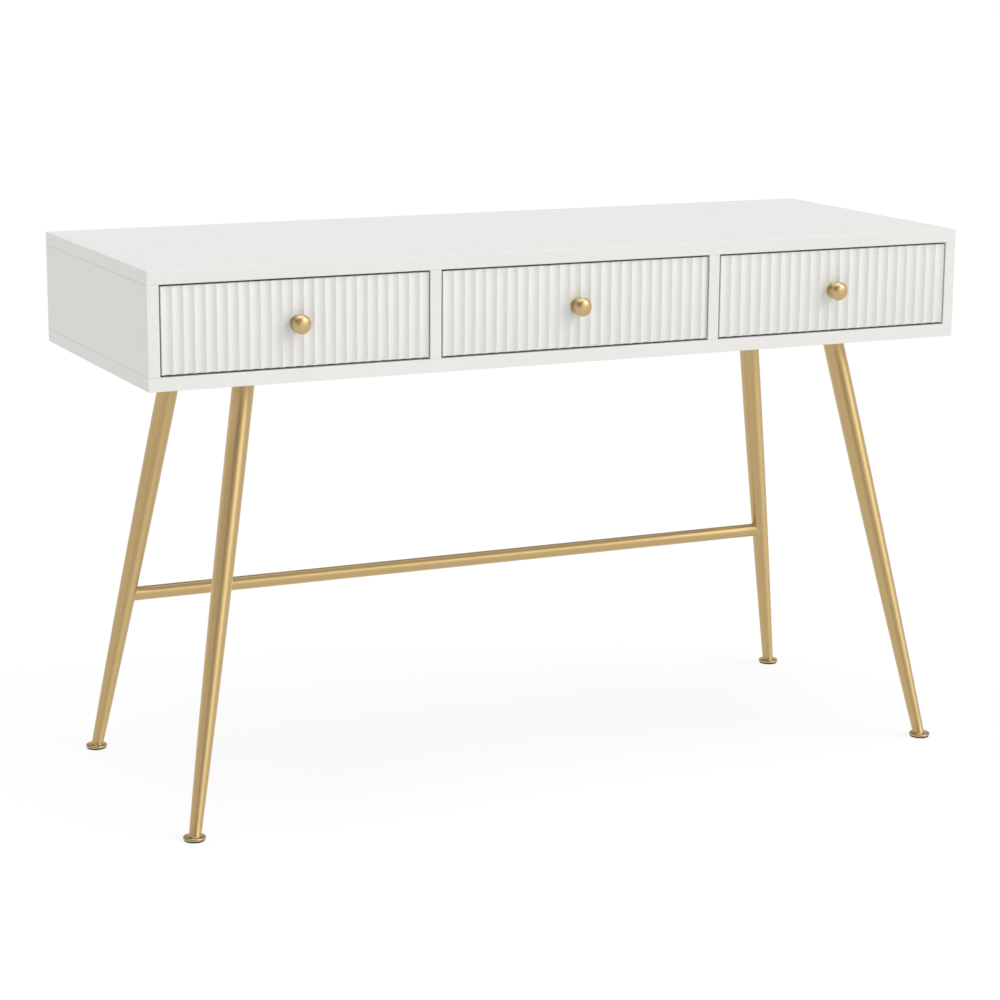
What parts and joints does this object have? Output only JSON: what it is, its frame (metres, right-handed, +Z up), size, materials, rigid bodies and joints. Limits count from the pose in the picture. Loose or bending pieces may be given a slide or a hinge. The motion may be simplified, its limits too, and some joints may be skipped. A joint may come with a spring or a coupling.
{
  "type": "dressing table",
  "caption": "Dressing table with fluted drawer fronts on runners, round knobs, and splayed tapered tube legs with a stretcher at the back.",
  "frame": {"origin": "on the floor, at the centre of the outline of the whole table (boards, knobs and feet) seen from above", "axes": "+X along the table's width, to the right of a person facing the drawers; +Y towards the back, so the drawers open along -Y; +Z up"},
  "size_m": [1.2, 0.487, 0.74],
  "materials": {
    "white_lacquer": "satin white lacquer on fine fibreboard",
    "drawer_board": "pale foil on particle board",
    "brushed_gold": "brushed gold-plated steel tube, clear coated",
    "satin_brass": "turned and satin-polished brass",
    "zinc_steel": "bright zinc-plated sheet steel",
    "dark_pad": "dark brown non-slip pad"
  },
  "bodies": {
    "table": {"top_panel": "white_lacquer", "bottom_panel": "white_lacquer", "side_panel_left": "white_lacquer", "side_panel_right": "white_lacquer", "divider_left": "white_lacquer", "divider_right": "white_lacquer", "back_panel": "white_lacquer", "runner_left_left": "zinc_steel", "runner_left_right": "zinc_steel", "runner_centre_left": "zinc_steel", "runner_centre_right": "zinc_steel", "runner_right_left": "zinc_steel", "runner_right_right": "zinc_steel", "leg_front_left": "brushed_gold", "leg_plate_front_left": "brushed_gold", "foot_disc_front_left": "brushed_gold", "foot_pad_front_left": "dark_pad", "leg_front_right": "brushed_gold", "leg_plate_front_right": "brushed_gold", "foot_disc_front_right": "brushed_gold", "foot_pad_front_right": "dark_pad", "leg_back_left": "brushed_gold", "leg_plate_back_left": "brushed_gold", "foot_disc_back_left": "brushed_gold", "foot_pad_back_left": "dark_pad", "leg_back_right": "brushed_gold", "leg_plate_back_right": "brushed_gold", "foot_disc_back_right": "brushed_gold", "foot_pad_back_right": "dark_pad", "stretcher": "brushed_gold"},
    "drawer_left": {"drawer_left_front": "white_lacquer", "drawer_left_side_left": "drawer_board", "drawer_left_side_right": "drawer_board", "drawer_left_back": "drawer_board", "drawer_left_floor": "drawer_board", "drawer_left_knob": "satin_brass", "drawer_left_knob_screw": "zinc_steel", "drawer_left_rail_left": "zinc_steel", "drawer_left_rail_right": "zinc_steel"},
    "drawer_centre": {"drawer_centre_front": "white_lacquer", "drawer_centre_side_left": "drawer_board", "drawer_centre_side_right": "drawer_board", "drawer_centre_back": "drawer_board", "drawer_centre_floor": "drawer_board", "drawer_centre_knob": "satin_brass", "drawer_centre_knob_screw": "zinc_steel", "drawer_centre_rail_left": "zinc_steel", "drawer_centre_rail_right": "zinc_steel"},
    "drawer_right": {"drawer_right_front": "white_lacquer", "drawer_right_side_left": "drawer_board", "drawer_right_side_right": "drawer_board", "drawer_right_back": "drawer_board", "drawer_right_floor": "drawer_board", "drawer_right_knob": "satin_brass", "drawer_right_knob_screw": "zinc_steel", "drawer_right_rail_left": "zinc_steel", "drawer_right_rail_right": "zinc_steel"}
  },
  "joints": [
    {"name": "drawer_left_slide", "type": "slide", "parent": "table", "child": "drawer_left", "axis": [0, -1, 0], "range_m": [0, 0.26]},
    {"name": "drawer_centre_slide", "type": "slide", "parent": "table", "child": "drawer_centre", "axis": [0, -1, 0], "range_m": [0, 0.26]},
    {"name": "drawer_right_slide", "type": "slide", "parent": "table", "child": "drawer_right", "axis": [0, -1, 0], "range_m": [0, 0.26]}
  ]
}
